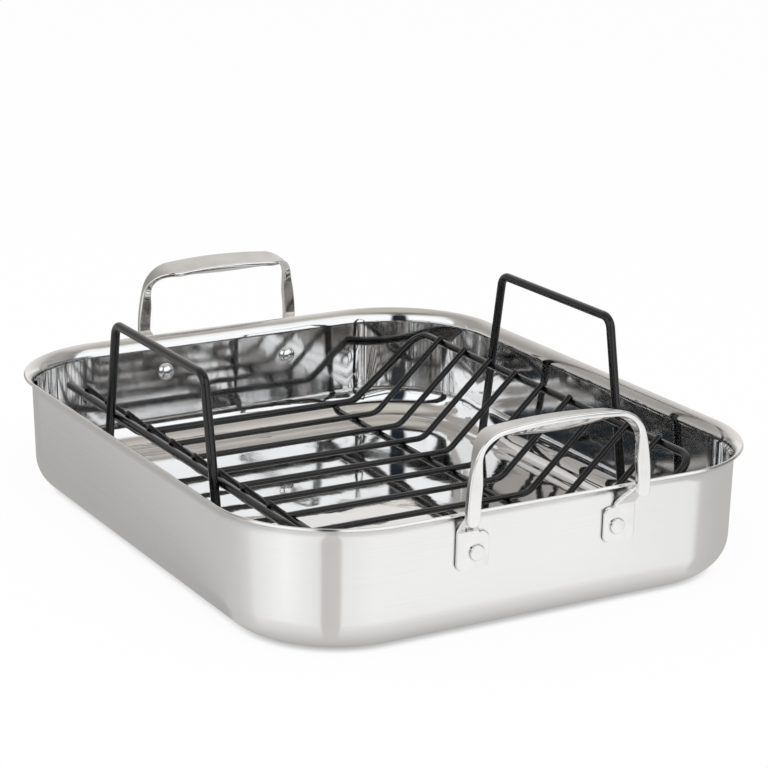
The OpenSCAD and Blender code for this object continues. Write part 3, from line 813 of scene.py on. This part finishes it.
def wire(path, diameter, closed, rounding):
    """A round wire along a course, its rings turned as little as the course allows."""
    stations = wire_stations(path, diameter / 2, closed, rounding)
    start, previous, _ = stations[0]
    normal = unit(np.cross(previous, [0.3, 0.2, 1.0]))
    turns = [2 * math.pi * k / WIRE_SIDES for k in range(WIRE_SIDES)]
    rings = []
    for p, head, radius in stations:
        axis = np.cross(previous, head)
        size = np.linalg.norm(axis)
        if size > 1e-9:
            axis /= size
            a = math.asin(min(1, size))
            normal = (normal * math.cos(a) + np.cross(axis, normal) * math.sin(a)
                      + axis * (axis @ normal) * (1 - math.cos(a)))
        normal = unit(normal - head * (normal @ head))
        side = np.cross(head, normal)
        previous = head
        rings.append([p + radius * (normal * math.cos(a) + side * math.sin(a)) for a in turns])
    faces = skin(rings, WIRE_SIDES, caps=not closed)
    if closed:
        # The last ring joins the first at the points that lie nearest
        gap = unit(rings[0][0] - start)
        shift = int(round(math.atan2(float(gap @ side), float(gap @ normal)) / (2 * math.pi / WIRE_SIDES)))
        last = (len(rings) - 1) * WIRE_SIDES
        for j in range(WIRE_SIDES):
            k = (j + 1) % WIRE_SIDES
            faces.append((last + (j + shift) % WIRE_SIDES, last + (k + shift) % WIRE_SIDES, k, j))
    return flatten(rings), faces


def wire_piece(name, node, path, diameter, closed=False, rounding=WIRE_ROUND):
    path = [p - np.array([SHIFT, 0, 0]) for p in path]
    points, faces = wire(path, diameter, closed, rounding)
    piece = make(name, points, faces, [COATING])
    crisp(piece, 60)
    settle(piece, "rack", "rack_coating", node)


def rack():
    for number in range(1, 10):
        x = PITCH * number - END_X
        bends = [(x, -TIP_Y, TIP_Z), (x, -FLAT_HALF, RACK_Z), (x, FLAT_HALF, RACK_Z), (x, TIP_Y, TIP_Z)]
        path = course(bends, [0, WIRE_BEND, WIRE_BEND, 0])
        wire_piece("rack_crossbar_%d" % number, "rack_cross_wire_%d" % number, path, CROSS)
    loop = [(END_X, -FLAT_HALF, RACK_Z), (END_X, FLAT_HALF, RACK_Z), (END_X, RAIL_Y, RAIL_Z),
            (-END_X, RAIL_Y, RAIL_Z), (-END_X, FLAT_HALF, RACK_Z), (-END_X, -FLAT_HALF, RACK_Z),
            (-END_X, -RAIL_Y, RAIL_Z), (END_X, -RAIL_Y, RAIL_Z)]
    radii = [WIRE_BEND, WIRE_BEND, FRAME_CORNER, FRAME_CORNER] * 2
    wire_piece("rack_outer_frame", "rack_frame", course(loop, radii, True), FRAME, True)
    for hand, sign in (("left", -1), ("right", 1)):
        y = sign * LOWER_Y
        bends = [(-LOWER_END_X, y, LOWER_END_Z), (-LOWER_CORNER_X, y, LOWER_Z),
                 (LOWER_CORNER_X, y, LOWER_Z), (LOWER_END_X, y, LOWER_END_Z)]
        path = course(bends, [0, LOWER_BEND, LOWER_BEND, 0])
        wire_piece("rack_%s_foot_rail" % hand, "rack_%s_lower_rail" % hand, path, LOWER, rounding=RAIL_ROUND)
        y = sign * HANDLE_Y
        foot = np.array([HANDLE_FOOT_X, y, FOOT_HEIGHT])
        foot += np.array([math.sin(SPLAY), 0, -math.cos(SPLAY)]) * HANDLE / 2
        bends = [foot * [-1, 1, 1], (-HANDLE_TOP_X, y, HANDLE_TOP_Z), (HANDLE_TOP_X, y, HANDLE_TOP_Z), foot]
        path = course(bends, [0, HANDLE_CORNER, HANDLE_CORNER, 0])
        wire_piece("rack_%s_lift_handle" % hand, "rack_%s_handle" % hand, path, HANDLE, rounding=FOOT_ROUND)


rack()


# Stage: white floor and backdrop, plain soft light, and what polished steel mirrors

def tones(*rows):
    """Ramp stops from angles about Z, -180 to 180 degrees, and tones."""
    return [((angle + 180) / 360, tone(*rest)) for angle, *rest in rows]


# What the outer walls mirror off the floor round the part: bright in front, grey elsewhere
SURROUNDINGS = tones(
    (-180, 0.43, 0.02), (-174, 0.465, 0.02), (-168, 0.55, 0.01), (-162, 0.57, 0.01), (-148, 0.58, 0.01),
    (-135, 0.61, 0.01), (-118, 0.70, 0.01), (-112, 0.82), (-96, 0.90), (-74, 1.0), (-60, 0.92), (-42, 0.84),
    (-40, 0.60, 0.03), (-23, 0.61, 0.03), (-21, 0.86), (10, 0.95), (34, 0.89), (54, 0.87), (60, 0.60, 0.02),
    (82, 0.55, 0.02), (120, 0.52, 0.03), (180, 0.47, 0.02))

# The same floor near the walls, darkened there as painted shade: the stops are shares of NEAR_REACH, in
# metres, out from the base's flat
NEAR_REACH = 0.16
PAINTED_NEAR_SHADE = [(0.0, tone(0.38, 0.02)), (0.08, tone(0.52, 0.02)), (0.16, tone(0.70, 0.02)),
        (0.26, tone(0.80, 0.01)), (0.40, tone(0.97)), (0.55, tone(1.0))]

# The thin shadow where the base meets the floor, as the camera sees it
CONTACT_REACH = 0.0065
CONTACT = [(0.04, tone(0.44)), (0.16, tone(0.70)), (0.30, tone(0.90)), (0.46, tone(1.0))]
CONTACT_SHARE = 0.94

FLOOR_DEPTH, FLOOR_HALF = 0.2, 30000
FRONT = math.radians(30)

# What the steel mirrors above the horizon: white screens in front, a gap between them, a grey room behind
HORIZON = tones(
    (-180, 0.20), (-160, 0.45, 0.03), (-120, 0.36, 0.03), (-95, 0.60), (-50, 0.50), (-42, 0.02), (-27, 0.02),
    (-24, 0.95), (28, 1.0), (38, 0.20, -0.12), (60, 0.17, -0.10), (95, 0.18, -0.05), (110, 0.50),
    (122, 0.85), (165, 0.86), (180, 0.20))
MIDDLE = tones(
    (-180, 0.62, 0.02), (-164, 0.48, 0.03), (-152, 0.34, 0.05), (-126, 0.33, 0.04), (-106, 0.42, 0.03),
    (-102, 1.0, -0.015), (-47, 1.0, -0.015), (-42, 0.02, -0.3), (-27, 0.02, -0.3), (-24, 1.0, -0.02),
    (52, 1.0, -0.02), (57, 0.22), (66, 0.27, 0.03), (80, 0.34, 0.04), (100, 0.36, 0.03), (116, 0.55, 0.03),
    (142, 0.78, 0.02), (165, 0.74, 0.02), (180, 0.62, 0.02))
HIGH = tones(
    (-180, 0.66, 0.04), (-150, 0.40, 0.06), (-110, 0.33, 0.06), (-60, 0.20, 0.05), (-35, 0.14, 0.05),
    (0, 0.30, 0.05), (40, 0.36, 0.06), (90, 0.56, 0.05), (130, 0.80, 0.03), (180, 0.66, 0.04))
TOP = (0.53, 0.51, 0.455)
ROOM_STRENGTH = 1.12


def stage_floor():
    m = Nodes("stage_floor", metallic=0.0)
    m.set(Base_Color=tone(0.92), Roughness=1.0, Specular_IOR_Level=0.0)
    place = m.axes(m.add("ShaderNodeNewGeometry").outputs["Position"])

    def beyond(value, limit):
        """How far a place lies past the straight wall, either way; 0 along it."""
        low = m.combine("MAXIMUM", m.combine("SUBTRACT", value, limit * MM), 0)
        high = m.combine("MINIMUM", m.combine("ADD", value, limit * MM), 0)
        return m.combine("ADD", low, high)

    def length(x, y):
        squares = [m.combine("MULTIPLY", value, value) for value in (x, y)]
        return m.combine("SQRT", m.combine("ADD", *squares), 0)

    # Tones fan out from the pan's front corners, as a round corner spreads them
    x, y = m.combine("SUBTRACT", place[0], CORNER_X * MM), beyond(place[1], CORNER_Y)
    away = m.combine("MAXIMUM", length(x, y), CORNER_R * MM)
    fan = m.combine("SUBTRACT", 2, m.combine("DIVIDE", CORNER_R * MM, away))
    from_front = m.combine("ADD", m.combine("ARCTAN2", y, x), FRONT)
    angle = m.combine("DIVIDE", m.combine("MULTIPLY", from_front, 2), fan)
    around = m.ramp(m.share_of_turn(m.combine("SUBTRACT", angle, FRONT)), SURROUNDINGS)
    reach = m.combine("SUBTRACT", length(beyond(place[0], CORNER_X), y), FLOOR_FLAT * MM)
    # Painted shade: the floor that the steel mirrors turns darker close to the walls.
    painted_near_shade = m.ramp(m.combine("MULTIPLY", reach, 1 / NEAR_REACH), PAINTED_NEAR_SHADE)
    mirrored = m.lit("ShaderNodeEmission", m.mix_colors(1.0, around, painted_near_shade, "DARKEN"))
    # Painted shadow: the floor the camera sees glows white, darkened by the gap ramp where the base meets
    # it.
    white = m.lit("ShaderNodeEmission", m.ramp(m.gap(CONTACT_REACH, 12), CONTACT))
    plain = m.shader.outputs[0]
    floor = m.by_ray(plain, mirrored, m.mix_shaders(CONTACT_SHARE, plain, white))
    m.link(floor, m.tree.nodes["Material Output"].inputs["Surface"])
    corners = ((-1, -1), (1, -1), (1, 1), (-1, 1))
    points = [(sx * FLOOR_HALF, sy * FLOOR_HALF, -FLOOR_DEPTH) for sx, sy in corners]
    make("stage_floor", points, [(0, 1, 2, 3)], [m.material])


def surroundings():
    world = bpy.data.worlds.new("studio")
    bpy.context.scene.world = world
    world.use_nodes = True
    world.node_tree.nodes.clear()
    w = Tree(world.node_tree)
    direction = w.axes(w.add("ShaderNodeTexCoord").outputs["Generated"])
    turn = w.share_of_turn(w.combine("ARCTAN2", direction[1], direction[0]))

    def above(lower, upper, start, end):
        """Blends from one belt of tones to the next between two elevations, in degrees."""
        low, high = math.sin(math.radians(start)), math.sin(math.radians(end))
        return w.mix_colors(w.spread(direction[2], 0.0, 1.0, low, high), lower, upper)

    room = above(w.ramp(turn, HORIZON), w.ramp(turn, MIDDLE), 8, 13)
    room = above(room, w.ramp(turn, HIGH), 44, 54)
    room = above(room, TOP, 62, 72)
    plain = w.lit("ShaderNodeBackground", tone(0.80))
    mirrored = w.lit("ShaderNodeBackground", room, ROOM_STRENGTH)
    white = w.lit("ShaderNodeBackground", tone(1.0))
    output = w.add("ShaderNodeOutputWorld")
    w.link(w.by_ray(plain, mirrored, white), output.inputs["Surface"])


LAMP_AIM = Vector((0, 0, 0.05))


def lamp(name, place, size, power):
    data = bpy.data.lights.new(name, "AREA")
    data.shape = "RECTANGLE"
    data.size, data.size_y = size
    data.energy = power
    light = bpy.data.objects.new(name, data)
    light.visible_glossy = False
    facing = (Vector(place) - LAMP_AIM).to_track_quat("Z", "Y")
    light.matrix_world = Matrix.Translation(Vector(place)) @ facing.to_matrix().to_4x4()
    bpy.context.scene.collection.objects.link(light)


stage_floor()
surroundings()
lamp("key_softbox", (1.4, -0.5, 1.9), (1.4, 1.0), 14)
lamp("fill_softbox", (-1.2, -1.6, 1.5), (1.2, 1.2), 6)
bpy.context.scene.view_settings.view_transform = "Standard"
